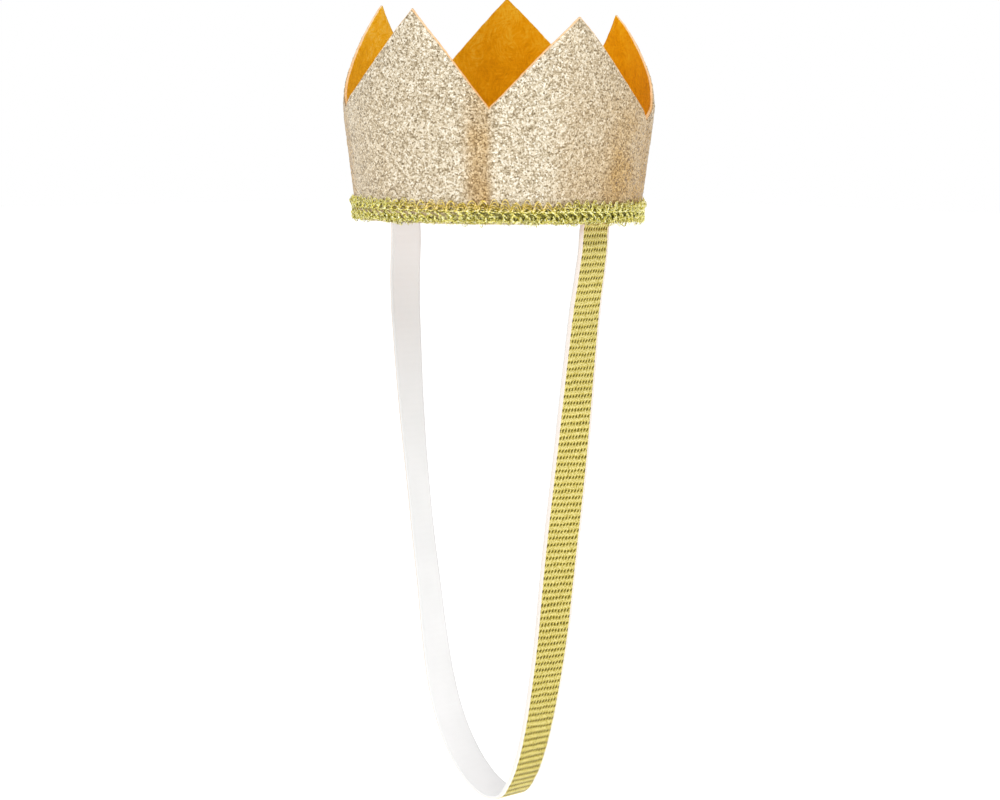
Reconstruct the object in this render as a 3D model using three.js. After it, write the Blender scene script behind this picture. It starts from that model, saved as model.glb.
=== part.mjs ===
// A small party crown: a five-pointed ring of felt faced with glitter, a metallic braid round its rim
// and an elastic chin strap sewn inside it. Millimetres, +Z up.
// The origin is the centre of the rim's bottom plane, where the wearer's head goes in.
// The strap hangs in the XZ plane, from sewn ends at +X and -X.
import * as THREE from "three";

// Crown wall
const RIM_RADIUS = 41.2; // outside of the glitter sheet at the rim
const SHOULDER_RADIUS = 45.4; // outside of the glitter sheet where the points begin
const SHOULDER_HEIGHT = 31.5;
const FLARE = (SHOULDER_RADIUS - RIM_RADIUS) / SHOULDER_HEIGHT;
const GLITTER_THICKNESS = 0.6;
const FELT_THICKNESS = 1.3;
const GAP = 0.3; // left between pieces that touch
// The hand-cut top edge, tips and valleys in turn, from the seam round to the seam again.
// turn is in degrees round +Z from -Y, and lean is how far that stretch bends in from the flare.
const CUT_EDGE = [
  { turn: 189, height: 40, lean: 8 },
  { turn: 222.7, height: 65.4, lean: 3 },
  { turn: 255.5, height: 37.5, lean: 8.5 },
  { turn: 285.5, height: 61.8, lean: 7.4 },
  { turn: 328.5, height: 28.4, lean: 8.4 },
  { turn: 373.6, height: 58.3, lean: 3 },
  { turn: 402, height: 31.5, lean: 12 },
  { turn: 433.8, height: 56.4, lean: 2.2 },
  { turn: 476, height: 26.3, lean: 10 },
  { turn: 528, height: 59.6, lean: 7 },
  { turn: 549, height: 40, lean: 8 },
];
const LEAN_LENGTH = 28; // height above the shoulder at which a stretch has its whole lean
const LEAN_POWER = 1.25;
const SEAM_GAP = 0.4;
const COLUMNS_PER_SPAN = 6; // a span runs from a tip to a valley
const WALL_ROWS = 8;

// Metallic braid round the rim
const TRIM_SEGMENTS = 60;
const LOWER_LOOPS = { low: 0, high: 2.5, thickness: 1.1 };
const CORE_CORD = { low: 2.8, high: 3.8, thickness: 1.5 };
const UPPER_LOOPS = { low: 4.1, high: 6.1, thickness: 1 };
const TRIM_THREAD_HEIGHT = 3.3;
const TRIM_THREAD_RADIUS = 0.2;

// Elastic strap
const STRAP_WIDTH = 12;
const STRAP_THICKNESS = 1.2;
const STRAP_END_X = 37.2; // middle of the ribbon where it is sewn to the felt
const STRAP_END_LOW = -1;
const STRAP_END_HIGH = 14;
const LOOP_TOP = STRAP_END_LOW - GAP;
const PIVOT_HEIGHT = LOOP_TOP - STRAP_WIDTH / 2; // the loop swings about this height
const STRAP_TWIST = 16; // greatest turn of the ribbon about its own length, in degrees
const STRAP_STEPS = 76;
// The hanging loop's middle line, [x, z], from the +X end down and up to the -X end.
const STRAP_ROUTE = [
  [37.2, LOOP_TOP],
  [37.5, PIVOT_HEIGHT],
  [36.9, -14],
  [35.4, -24],
  [34, -36],
  [32.4, -50],
  [30.8, -64],
  [29, -78],
  [27.1, -92],
  [25.3, -106],
  [23.6, -120],
  [21.2, -134],
  [18.2, -148],
  [15.6, -157],
  [11.9, -165.5],
  [7.6, -170.8],
  [2.6, -171.7],
  [-3.4, -170],
  [-9.6, -165.6],
  [-15.4, -159],
  [-20, -151],
  [-23.6, -141],
  [-26.6, -127.5],
  [-29.2, -112],
  [-31.8, -97.5],
  [-34, -83],
  [-36.2, -67.5],
  [-37.9, -53],
  [-39.2, -38.5],
  [-40, -26],
  [-39.6, -15],
  [-38.3, PIVOT_HEIGHT],
  [-37.2, LOOP_TOP],
];

// Sewing threads
const THREAD_PAD = 0.5; // thickness of a patch of stitches
const TACK = { width: 9, low: 5.5, high: 10 };
const SEAM_STITCH = { width: 5, low: 6, high: 27 };

const radians = THREE.MathUtils.degToRad;
const blend = THREE.MathUtils.lerp;

// The direction at a turn round +Z, counted from -Y.
function direction(turn) {
  return new THREE.Vector2(Math.sin(radians(turn)), -Math.cos(radians(turn)));
}

// The cut edge's height and lean at a turn, straight from each tip to each valley.
function cutEdge(turn) {
  const next = Math.max(1, CUT_EDGE.findIndex((knot) => knot.turn >= turn));
  const [from, to] = [CUT_EDGE[next - 1], CUT_EDGE[next]];
  const share = (turn - from.turn) / (to.turn - from.turn);
  return {
    height: blend(from.height, to.height, share),
    lean: blend(from.lean, to.lean, THREE.MathUtils.smoothstep(share, 0, 1)),
  };
}

// The outside radius of the wall: a flared cone that bends inwards above the shoulder.
function wallRadius(lean, height) {
  const above = Math.max(0, height - SHOULDER_HEIGHT);
  return RIM_RADIUS + FLARE * height - lean * (above / LEAN_LENGTH) ** LEAN_POWER;
}

// A closed sheet of two skins, each a grid of columns and rows, joined round its four edges.
// place(along, up, side) gives a vertex, with along and up from 0 to 1. Side 1 is the skin that is seen
// with along running to the right and up running upwards, and side 0 is the one behind it.
function sheetSolid(columns, rows, place) {
  const vertices = [];
  const triangles = [];
  const index = (i, j, side) => (i * (rows + 1) + j) * 2 + side;
  for (let i = 0; i <= columns; i++)
    for (let j = 0; j <= rows; j++)
      for (const side of [0, 1]) vertices.push(...place(i / columns, j / rows, side));
  const quad = (a, b, c, d) => triangles.push(a, b, c, a, c, d);
  for (let i = 0; i < columns; i++)
    for (let j = 0; j < rows; j++) {
      quad(index(i, j, 1), index(i + 1, j, 1), index(i + 1, j + 1, 1), index(i, j + 1, 1));
      quad(index(i, j, 0), index(i, j + 1, 0), index(i + 1, j + 1, 0), index(i + 1, j, 0));
    }
  for (let i = 0; i < columns; i++) {
    quad(index(i, 0, 0), index(i + 1, 0, 0), index(i + 1, 0, 1), index(i, 0, 1));
    quad(index(i, rows, 0), index(i, rows, 1), index(i + 1, rows, 1), index(i + 1, rows, 0));
  }
  for (let j = 0; j < rows; j++) {
    quad(index(0, j, 0), index(0, j, 1), index(0, j + 1, 1), index(0, j + 1, 0));
    quad(index(columns, j, 1), index(columns, j, 0), index(columns, j + 1, 0), index(columns, j + 1, 1));
  }
  const geometry = new THREE.BufferGeometry().setIndex(triangles);
  geometry.setAttribute("position", new THREE.Float32BufferAttribute(vertices, 3));
  geometry.computeVertexNormals();
  return geometry;
}

// The turn at a share of the way round the cut edge, with every span the same share.
function turnAlong(along) {
  const spans = CUT_EDGE.length - 1;
  const span = Math.min(Math.floor(along * spans + 1e-9), spans - 1);
  return blend(CUT_EDGE[span].turn, CUT_EDGE[span + 1].turn, along * spans - span);
}

// One layer of the wall, between two depths below its outside: a strip bent into a ring.
function wallLayer(outerDepth, innerDepth) {
  const spans = CUT_EDGE.length - 1;
  const seamHalf = THREE.MathUtils.radToDeg(SEAM_GAP / 2 / RIM_RADIUS);
  const [low, high] = [CUT_EDGE[0].turn + seamHalf, CUT_EDGE[spans].turn - seamHalf];
  return sheetSolid(spans * COLUMNS_PER_SPAN, WALL_ROWS, (along, up, out) => {
    const turn = THREE.MathUtils.clamp(turnAlong(along), low, high);
    const edge = cutEdge(turn);
    const height = up * edge.height;
    const radius = wallRadius(edge.lean, height) - blend(innerDepth, outerDepth, out);
    const at = direction(turn).multiplyScalar(radius);
    return [at.x, at.y, height];
  });
}

// A ring whose section is an ellipse between two heights and two radii, flared with the wall.
function bandRing({ low, high, thickness }) {
  const middle = (low + high) / 2;
  const section = new THREE.EllipseCurve(0, 0, thickness / 2, (high - low) / 2).getPoints(12);
  const outline = section.map(({ x, y }) => {
    const wall = RIM_RADIUS + FLARE * (middle + y);
    return new THREE.Vector2(wall + GAP + thickness / 2 + x, middle + y);
  });
  return new THREE.LatheGeometry(outline, TRIM_SEGMENTS).rotateX(Math.PI / 2);
}

// The thread that holds the braid on, a thin ring against the felt's inside.
function trimThread() {
  const felt = wallInside(TRIM_THREAD_HEIGHT);
  const ring = new THREE.TorusGeometry(felt - GAP - TRIM_THREAD_RADIUS, TRIM_THREAD_RADIUS, 6, 72);
  return ring.translate(0, 0, TRIM_THREAD_HEIGHT);
}

// The inside radius of the felt below the shoulder.
function wallInside(height) {
  return RIM_RADIUS + FLARE * height - GLITTER_THICKNESS - GAP - FELT_THICKNESS;
}

// The loop's middle line as one smooth curve.
function strapCurve() {
  const points = STRAP_ROUTE.map(([x, z]) => new THREE.Vector3(x, 0, z));
  return new THREE.CatmullRomCurve3(points);
}

// The hanging loop: a flat ribbon that turns a little about its length, with round ends.
function strapLoop() {
  const curve = strapCurve();
  const length = curve.getLength();
  return sheetSolid(STRAP_STEPS, 1, (along, across, thick) => {
    // Steps are shorter at the ends and round the bottom.
    const eased = along - Math.sin(4 * Math.PI * along) / (10 * Math.PI);
    const fromEnd = Math.min(eased, 1 - eased) * length;
    const tangent = curve.getTangentAt(eased);
    const twist = radians(STRAP_TWIST) * Math.sin(2 * Math.PI * eased) ** 2;
    const side = new THREE.Vector3(0, -1, 0).applyAxisAngle(tangent, twist);
    const face = new THREE.Vector3().crossVectors(tangent, side);
    return curve
      .getPointAt(eased)
      .addScaledVector(side, (across - 0.5) * 2 * roundedHalfWidth(fromEnd))
      .addScaledVector(face, (thick - 0.5) * STRAP_THICKNESS)
      .toArray();
  });
}

// Half the ribbon's width near its end, which is a half circle about the pivot.
function roundedHalfWidth(fromEnd) {
  const radius = STRAP_WIDTH / 2;
  const short = Math.max(0, radius - fromEnd - 0.3);
  return Math.sqrt(radius ** 2 - short ** 2);
}

// A flat patch on the felt's inside at +X, from low to high, tilted with the wall.
function wallPatch(middleX, width, thickness, low, high) {
  return sheetSolid(1, 1, (across, up, out) => {
    const height = blend(low, high, up);
    const x = middleX + FLARE * height + (out - 0.5) * thickness;
    return [x, (across - 0.5) * width, height];
  });
}

function strapEnd() {
  return wallPatch(STRAP_END_X, STRAP_WIDTH, STRAP_THICKNESS, STRAP_END_LOW, STRAP_END_HIGH);
}

function tackStitch() {
  const x = STRAP_END_X - (STRAP_THICKNESS + THREAD_PAD) / 2 - GAP;
  return wallPatch(x, TACK.width, THREAD_PAD, TACK.low, TACK.high);
}

function seamStitching() {
  const x = wallInside(0) - GAP - THREAD_PAD;
  return wallPatch(x, SEAM_STITCH.width, THREAD_PAD, SEAM_STITCH.low, SEAM_STITCH.high);
}

// Materials
const glitter = new THREE.MeshStandardMaterial({ color: 0xcdb996, roughness: 0.35, metalness: 0.7 });
const felt = new THREE.MeshStandardMaterial({ color: 0xd08a14, roughness: 1, metalness: 0 });
const lurex = new THREE.MeshStandardMaterial({ color: 0xc4b440, roughness: 0.3, metalness: 0.9 });
const elastic = new THREE.MeshStandardMaterial({ color: 0xd2c35a, roughness: 0.4, metalness: 0.6 });
const thread = new THREE.MeshStandardMaterial({ color: 0xe0c070, roughness: 0.8, metalness: 0 });

const crown = new THREE.Group();

function add(name, geometry, material, turn = 0) {
  const mesh = new THREE.Mesh(geometry, material);
  mesh.name = name;
  mesh.rotation.z = radians(turn);
  crown.add(mesh);
}

const feltDepth = GLITTER_THICKNESS + GAP;
add("glitter_shell", wallLayer(0, GLITTER_THICKNESS), glitter);
add("felt_lining", wallLayer(feltDepth, feltDepth + FELT_THICKNESS), felt);
add("trim_lower_loops", bandRing(LOWER_LOOPS), lurex);
add("trim_core_cord", bandRing(CORE_CORD), lurex);
add("trim_upper_loops", bandRing(UPPER_LOOPS), lurex);
add("trim_stitching", trimThread(), thread);
add("seam_stitching", seamStitching(), thread, CUT_EDGE[0].turn - 90);
add("strap_end_right", strapEnd(), elastic);
add("strap_end_left", strapEnd(), elastic, 180);
add("tack_stitch_right", tackStitch(), thread);
add("tack_stitch_left", tackStitch(), thread, 180);
add("strap_loop", strapLoop(), elastic);

export default crown;
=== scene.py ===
"""A small party crown: glitter fabric on felt, a metallic braid round the rim and an elastic chin strap.

Everything is in metres, in the CAD model's frame: +Z up, the origin at the centre of the rim's bottom,
and the strap's sewn ends at +X and -X. A turn is an angle round +Z, counted from -Y.
"""

import math

import bpy
import numpy as np
from mathutils import Matrix, Vector, noise


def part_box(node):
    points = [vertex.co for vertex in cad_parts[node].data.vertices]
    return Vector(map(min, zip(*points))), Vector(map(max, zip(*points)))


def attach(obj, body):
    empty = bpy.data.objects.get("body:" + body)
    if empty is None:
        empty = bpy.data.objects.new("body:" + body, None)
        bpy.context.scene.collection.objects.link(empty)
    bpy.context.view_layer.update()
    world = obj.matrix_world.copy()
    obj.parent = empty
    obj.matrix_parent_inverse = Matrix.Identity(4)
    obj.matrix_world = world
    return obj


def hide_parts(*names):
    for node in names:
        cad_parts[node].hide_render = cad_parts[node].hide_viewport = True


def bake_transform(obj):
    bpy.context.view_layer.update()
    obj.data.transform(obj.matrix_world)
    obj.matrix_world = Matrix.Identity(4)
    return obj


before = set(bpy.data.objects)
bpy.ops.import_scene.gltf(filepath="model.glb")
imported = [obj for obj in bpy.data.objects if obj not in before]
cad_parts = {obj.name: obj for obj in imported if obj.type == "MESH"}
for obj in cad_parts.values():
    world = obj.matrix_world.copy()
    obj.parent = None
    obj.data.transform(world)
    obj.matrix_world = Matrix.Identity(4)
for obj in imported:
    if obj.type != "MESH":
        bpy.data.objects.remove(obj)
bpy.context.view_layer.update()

MM = 0.001
random = np.random.default_rng(5)

# Camera
CAMERA_TURN = math.radians(45.5)
CAMERA_DISTANCE = 0.700
CAMERA_RIGHT = 0.0002
CAMERA_HEIGHT = 0.0287
CAMERA_PITCH = math.radians(6.69)  # downwards
CAMERA_YAW = math.radians(0.06)  # to the right
CAMERA_ROLL = math.radians(0.42)
CAMERA_LENS = 86

# Elastic strap
STRAP_WIDTH = 12 * MM
STRAP_THICKNESS = 1.0 * MM  # without the ribs
STRAP_STEP = 0.34 * MM
SELVAGE = 0.7 * MM
RIB_PITCH = 2.0 * MM
RIB_HEIGHT = 0.26 * MM
CORDS_ACROSS = 10  # dashes in one rib
RIBBON_EDGE = 0.15 * MM  # how far its rounded edges stand out past its faces
GOLD_POINTS = 46  # across its gold face
WHITE_POINTS = 12  # across its white face
STRAP_TWIST = math.radians(16)
SEWN_LENGTH = 15.5 * MM  # of the ribbon at each end, which doesn't twist
STRAP_SLIP_LEFT = -3.0 * MM  # along Y, at the rim
STRAP_SLIP_RIGHT = 1.7 * MM
STRAP_SLIP_REACH = 8 * MM  # past each such distance from the rim, about a third of a slip is left
STRAP_SLIP_EASE = 2 * MM  # how gently a slip starts to ease off
STRAP_END_RADIUS = 41 * MM  # the sewn ends follow the wall round
GOLD_SHADE_DEEPENING = 9.0  # painted shade: how much deeper the gold face is painted for each metre down
GOLD_EVEN = 0.6  # how much of that is left out, so that it starts some way down
WHITE_LIGHTENING = 4.0  # painted light: how much lighter the white face is painted for each metre down
# The ribbon's middle line, (x, z), from its sewn end at +X round to its sewn end at -X.
STRAP_ROUTE = [
    (0.0390, 0.0140),
    (0.0384, 0.0090),
    (0.0377, 0.0040),
    (0.0372, -0.0013),
    (0.0375, -0.0073),
    (0.0369, -0.0140),
    (0.0354, -0.0240),
    (0.0340, -0.0360),
    (0.0324, -0.0500),
    (0.0308, -0.0640),
    (0.0290, -0.0780),
    (0.0271, -0.0920),
    (0.0253, -0.1060),
    (0.0236, -0.1200),
    (0.0212, -0.1340),
    (0.0182, -0.1480),
    (0.0156, -0.1570),
    (0.0119, -0.1655),
    (0.0076, -0.1708),
    (0.0026, -0.1717),
    (-0.0034, -0.1700),
    (-0.0096, -0.1656),
    (-0.0154, -0.1590),
    (-0.0200, -0.1510),
    (-0.0236, -0.1410),
    (-0.0266, -0.1275),
    (-0.0292, -0.1120),
    (-0.0318, -0.0975),
    (-0.0340, -0.0830),
    (-0.0362, -0.0675),
    (-0.0379, -0.0530),
    (-0.0392, -0.0385),
    (-0.0400, -0.0260),
    (-0.0396, -0.0150),
    (-0.0383, -0.0073),
    (-0.0372, -0.0013),
    (-0.0377, 0.0040),
    (-0.0384, 0.0090),
    (-0.0390, 0.0140),
]

# Crown wall
WALL_RADIUS = 44 * MM  # on the average
CROWN_WIDTH = 90 * MM
WALL_FLARE = 0.1333  # how fast the wall widens above the rim
WALL_WIDENING = 1.05  # its mean radius, over that at the rim
SEAM_TURN = 189.0
GLITTER_SHEET = 0.25 * MM  # its thickness, with the felt close behind it
GLITTER_STEP = 0.62 * MM
GLITTER_ROWS = 78
FLAKE_RELIEF = 0.06 * MM
FLAKE_SHIFT = 0.36  # how far a facet's corner strays, in steps
FLAKE_TILT = 0.6
TAN_AT_RIM = 1.25  # how much of the tan shows at the rim
TAN_FALL = 17.0  # how much less shows for each metre of height
FELT_STEP = 0.75 * MM
FELT_ROWS = 62
FELT_RELIEF = 0.12 * MM
FELT_PILLOW = 0.1 * MM  # how far its inside swells, and half as far at its edges
FELT_CUT_ROUGHNESS = 0.18 * MM
FELT_SWIRL = 10 * MM  # how far its fibres wander at most
FELT_SHADE_HEIGHT = 50 * MM  # painted shade: above this height the felt is painted paler, and deeper below it
FELT_SHADE_PALING = 6.5  # for each metre of height
FELT_PROUD = 0.45 * MM  # the felt's cut edge stands above the glitter's
FELT_FILL = 0.6 * MM  # how far the felt reaches out to the glitter sheet
FELT_THINNING = 1.3 * MM  # how much thinner the felt is at its cut edge
SIDE_LIGHT_TURN = math.radians(45)  # painted light: the felt is painted paler on the lit side of the crown and deeper on the shaded side
CREASES = [34.8, 69, 103, 137, 163, 189, 222, 256, 287, 316, 352]  # turns where the wall bends
SAME_TURN = 0.03  # in degrees: vertices of the CAD layer closer than this are in one column
SAME_LEVEL = 0.002 * MM  # vertices closer than this in height are in one row
PANEL_FLATNESS = 0.15
PANEL_LOW = 5 * MM  # the height up to which the wall is round
PANEL_BLEND = 14 * MM  # the height over which it turns flatter
# Where the glitter sheet is painted tan and darker, (turn, amount), mostly where it bends: partly its own
# tan tone and partly painted crease shade.
TAN_AND_CREASE_SHADE = [
    (0, 0.15),
    (31, 0.08),
    (36, 0.80),
    (41, 0.85),
    (44, 0.05),
    (62, 0.0),
    (70, 0.30),
    (86, 0.55),
    (100, 0.95),
    (122, 1.0),
    (142, 0.60),
    (163, 0.25),
    (187, 0.60),
    (205, 0.15),
    (222, 0.45),
    (240, 0.10),
    (257, 0.60),
    (285, 0.15),
    (310, 1.0),
    (323, 1.0),
    (334, 0.25),
    (352, 0.25),
]

# How far the hand-cut edge strays up or down from the CAD layer's straight lines, (turn, mm).
CUT_STRAY = [
    (319, 0.0),
    (328.5, 3.5),
    (336, 1.8),
    (344, 0.0),
    (352, -1.2),
    (362, -1.0),
    (373.6, 0.0),
    (462, 0.0),
    (470, 1.1),
    (476, 2.4),
    (484, 0.6),
    (492, 0.0),
]

# Studio
FLOOR_HEIGHT = -0.26
FLOOR_HALF = 6.0
FLOOR_GLOW = 0.55
SKY_EDGE = 0.16  # sine of the elevation up to which the sky is white
SKY_OVERHEAD = 0.68
LIGHT_TARGET = (0, 0, -0.06)

# Braid
GROUND_LOW = 0.7 * MM
GROUND_HIGH = 4.1 * MM
GROUND_COLUMNS = 700
GROUND_ROWS = 15
LOOP_PITCH = 2.95 * MM
LOOP_POINTS = 14
STRAND_POINTS = 10  # in each repeat of a core strand
THREAD = 0.12 * MM  # radius
BRAID_ASKEW = 0.3 * MM  # it is sewn on a little higher on one side
BRAID_HIGHEST = 340  # turn
# Rows of loops: how many threads, then their base, top, distance from the wall and sideways swing in
# millimetres, then their pitch in LOOP_PITCH and how far along it they start.
UPPER_LOOPS = [
    (3, (3.4, 5.8, 0.65, 0.45), 1.0, 0.0),
    (2, (3.5, 5.5, 0.50, 0.25), 1.0, 0.04),
    (2, (3.4, 4.9, 0.75, 0.10), 1.0, -0.03),
]
LOWER_LOOPS = [
    (3, (1.9, 0.45, 0.75, 0.65), 0.8, 0.3),
    (3, (2.0, 0.60, 0.50, 0.70), 0.66, 0.1),
    (2, (1.8, 0.90, 0.95, 0.40), 0.8, 0.35),
]
# Core strands: their height, how far they weave and their distance from the wall in millimetres, how far
# along a repeat they start, and their radius in millimetres.
CORE_STRANDS = [
    ((3.5, 0.14, 0.95), 0.2, 0.16),
    ((3.15, 0.16, 0.85), 0.6, 0.14),
    ((3.85, 0.12, 0.70), 0.0, 0.13),
]
# Slanting threads: their top, bottom, distance from the wall and lean in millimetres, and how many in each
# repeat.
SLANTS = [((3.4, 1.5, 0.6, 2.3), 3), ((3.2, 1.7, 0.4, 1.5), 2)]
STRAYS = [(800, 0.06 * MM), (600, 0.09 * MM)]  # how many loose filaments, and their radius
# Where the upper loops are golden rather than lime, and where the ground is champagne, (turn, amount).
GOLDEN_LOOPS = [(0, 0.2), (20, 0.9), (64, 0.9), (76, 0.1), (180, 0.1), (200, 0.9), (250, 0.9), (270, 0.0)]
CHAMPAGNE_GROUND = [(0, 1.0), (18, 1.0), (34, 0.15), (60, 0.0), (290, 0.0), (312, 1.0)]

# Sewing
STITCH_POINTS = 7
TRIM_STITCH_PITCH = 4.2 * MM
TRIM_STITCH_TURN = 4.3  # a stitch's length, in degrees
TACK_DEPTH = 0.62 * MM  # from the CAD patch's inner face to the stitches
TACK_INSET = 0.4 * MM
TACK_STITCH = 1.7 * MM
SEAM_STITCHES = 12
SEAM_HALF_WIDTH = 2.2 * MM


# ---------------------------------------------------------------- meshes


def add_mesh(name, points, faces, materials, smooth=True, material_index=None):
    """A mesh object from points and a list of face arrays, each with a fixed number of corners."""
    corners = np.concatenate([f.ravel() for f in faces]).astype(np.int32)
    sizes = np.concatenate([np.full(len(f), f.shape[1]) for f in faces]).astype(np.int32)
    points = np.asarray(points, np.float32).reshape(-1, 3)
    mesh = bpy.data.meshes.new(name)
    mesh.vertices.add(len(points))
    mesh.vertices.foreach_set("co", points.ravel())
    mesh.loops.add(len(corners))
    mesh.loops.foreach_set("vertex_index", corners)
    mesh.polygons.add(len(sizes))
    mesh.polygons.foreach_set("loop_start", np.cumsum(sizes, dtype=np.int32) - sizes)
    for material in materials:
        mesh.materials.append(material)
    if material_index is not None:
        mesh.polygons.foreach_set("material_index", material_index.astype(np.int32))
    mesh.polygons.foreach_set("use_smooth", np.full(len(sizes), smooth))
    mesh.update(calc_edges=True)
    mesh.validate()
    piece = bpy.data.objects.new(name, mesh)
    bpy.context.scene.collection.objects.link(piece)
    return piece


def unit(vectors):
    return vectors / np.maximum(np.linalg.norm(vectors, axis=-1, keepdims=True), 1e-12)


def loft_faces(tubes, rings, sides):
    """The faces of closed tubes whose points are stored as (tube, ring, side)."""
    index = np.arange(tubes * rings * sides).reshape(tubes, rings, sides)
    here, there = index[:, :-1], index[:, 1:]
    walls = np.stack([here, np.roll(here, -1, 2), np.roll(there, -1, 2), there], -1)
    caps = np.concatenate([index[:, 0, ::-1], index[:, -1]])
    return [walls.reshape(-1, 4), caps]


def tube_points(paths, radius, sides):
    """Rings of points round paths, an array of (tube, point, xyz)."""
    paths = np.asarray(paths, float)
    tangent = unit(np.gradient(paths, axis=1))
    normal = np.empty_like(tangent)
    start = np.where(np.abs(tangent[:, 0, 2:]) < 0.9, [[0.0, 0.0, 1.0]], [[1.0, 0.0, 0.0]])
    for i in range(paths.shape[1]):
        along = tangent[:, i]
        start = unit(start - along * np.sum(start * along, -1, keepdims=True))
        normal[:, i] = start
    binormal = np.cross(tangent, normal)
    angle = 2 * math.pi * np.arange(sides) / sides
    across = np.cos(angle)[:, None] * normal[:, :, None] + np.sin(angle)[:, None] * binormal[:, :, None]
    radius = np.broadcast_to(radius, paths.shape[:2])
    return paths[:, :, None] + radius[:, :, None, None] * across


def add_tubes(name, groups, materials, sides):
    """One piece made of round threads. Each group is (paths, radius) and has its own material."""
    points, faces, slots, start = [], [], [], 0
    for slot, (paths, radius) in enumerate(groups):
        rings = tube_points(paths, radius, sides)
        points.append(rings.reshape(-1, 3))
        walls, caps = loft_faces(*rings.shape[:3])
        faces += [walls + start, caps + start]
        slots += [np.full(len(walls), slot), np.full(len(caps), slot)]
        start += rings.shape[0] * rings.shape[1] * sides
    index = np.concatenate(slots)
    return add_mesh(name, np.concatenate(points), faces, materials, material_index=index)


def sheet_faces(columns, rows):
    """The faces of a closed sheet whose points are stored as (skin, column, row), outer skin first."""
    index = np.arange(2 * columns * rows).reshape(2, columns, rows)
    outer, inner = index

    def quads(a, b, c, d):
        return np.stack([a, b, c, d], -1).reshape(-1, 4)

    front = quads(outer[:-1, :-1], outer[1:, :-1], outer[1:, 1:], outer[:-1, 1:])
    back = quads(inner[:-1, :-1], inner[:-1, 1:], inner[1:, 1:], inner[1:, :-1])
    bottom = quads(inner[:-1, 0], inner[1:, 0], outer[1:, 0], outer[:-1, 0])
    top = quads(inner[:-1, -1], outer[:-1, -1], outer[1:, -1], inner[1:, -1])
    first = quads(inner[0, :-1], outer[0, :-1], outer[0, 1:], inner[0, 1:])
    last = quads(outer[-1, :-1], inner[-1, :-1], inner[-1, 1:], outer[-1, 1:])
    return front, back, bottom, top, first, last


def noise_at(points, size):
    """Smooth noise from -1 to 1 at each point, with bumps of about that size."""
    flat = np.asarray(points, float).reshape(-1, 3) / size
    return np.array([noise.noise(Vector(p)) for p in flat]).reshape(np.shape(points)[:-1])


def finish_piece(piece, slot, *nodes):
    """The piece rides on the crown and stands for those CAD nodes, which are hidden; slot is not used."""
    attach(piece, "crown")
    if nodes:
        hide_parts(*nodes)


# ---------------------------------------------------------------- materials


class Graph:
    """A material's nodes. Each method adds one node and returns the socket to use next."""

    def __init__(self, name, **constants):
        self.material = bpy.data.materials.new(name)
        self.material.use_nodes = True
        self.tree = self.material.node_tree
        self.shader = self.tree.nodes["Principled BSDF"]
        for key, value in constants.items():
            self.shader.inputs[key.replace("_", " ")].default_value = value

    def node(self, kind, inputs, **settings):
        made = self.tree.nodes.new("ShaderNode" + kind)
        for key, value in settings.items():
            setattr(made, key, value)
        for key, value in inputs.items():
            if isinstance(value, bpy.types.NodeSocket):
                self.tree.links.new(value, made.inputs[key])
            else:
                made.inputs[key].default_value = value
        return made

    def place(self):
        return self.node("TexCoord", {}).outputs["Object"]

    def uv(self, layer):
        return self.node("UVMap", {}, uv_map=layer).outputs["UV"]

    def split(self, vector):
        parts = self.node("SeparateXYZ", {"Vector": vector}).outputs
        return parts["X"], parts["Y"], parts["Z"]

    def math(self, operation, a, b=0.0):
        return self.node("Math", {0: a, 1: b}, operation=operation).outputs[0]

    def scaled(self, vector, factors):
        return self.node("VectorMath", {0: vector, 1: factors}, operation="MULTIPLY").outputs[0]

    def shifted(self, vector, offset):
        return self.node("VectorMath", {0: vector, 1: offset}, operation="ADD").outputs[0]

    def half(self, value):
        """A value from -1 to 1 as one from 0 to 1."""
        return self.math("ADD", self.math("MULTIPLY", value, 0.5), 0.5)

    def noise(self, vector, size, detail=2.0, roughness=0.5):
        inputs = {"Vector": vector, "Scale": 1 / size, "Detail": detail, "Roughness": roughness}
        return self.node("TexNoise", inputs).outputs["Fac"]

    def cells(self, vector, size):
        made = self.node("TexVoronoi", {"Vector": vector, "Scale": 1 / size, "Randomness": 1.0})
        return made.outputs["Color"]

    def ramp(self, factor, stops):
        made = self.node("ValToRGB", {"Fac": factor})
        ramp = made.color_ramp
        while len(ramp.elements) < len(stops):
            ramp.elements.new(0.5)
        for element, (position, colour) in zip(ramp.elements, stops):
            element.position = position
            element.color = (*colour, 1)
        return made.outputs["Color"]

    def mix(self, factor, a, b, blend="MIX"):
        made = self.node("Mix", {0: factor, 6: a, 7: b}, data_type="RGBA", blend_type=blend)
        return made.outputs[2]

    def bump(self, height, distance, strength):
        inputs = {"Height": height, "Distance": distance, "Strength": strength}
        return self.node("Bump", inputs).outputs["Normal"]

    def by_turn(self, place, amounts):
        """Grey amounts round the crown, from (turn, amount) pairs."""
        east, north, _ = self.split(place)
        turn = self.math("ARCTAN2", east, self.math("MULTIPLY", north, -1.0))
        share = self.math("FRACT", self.math("DIVIDE", turn, 2 * math.pi))
        return self.ramp(share, [(at / 360, (amount, amount, amount)) for at, amount in amounts])

    def use(self, **sockets):
        for key, socket in sockets.items():
            self.tree.links.new(socket, self.shader.inputs[key.replace("_", " ")])
        return self.material


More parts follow.
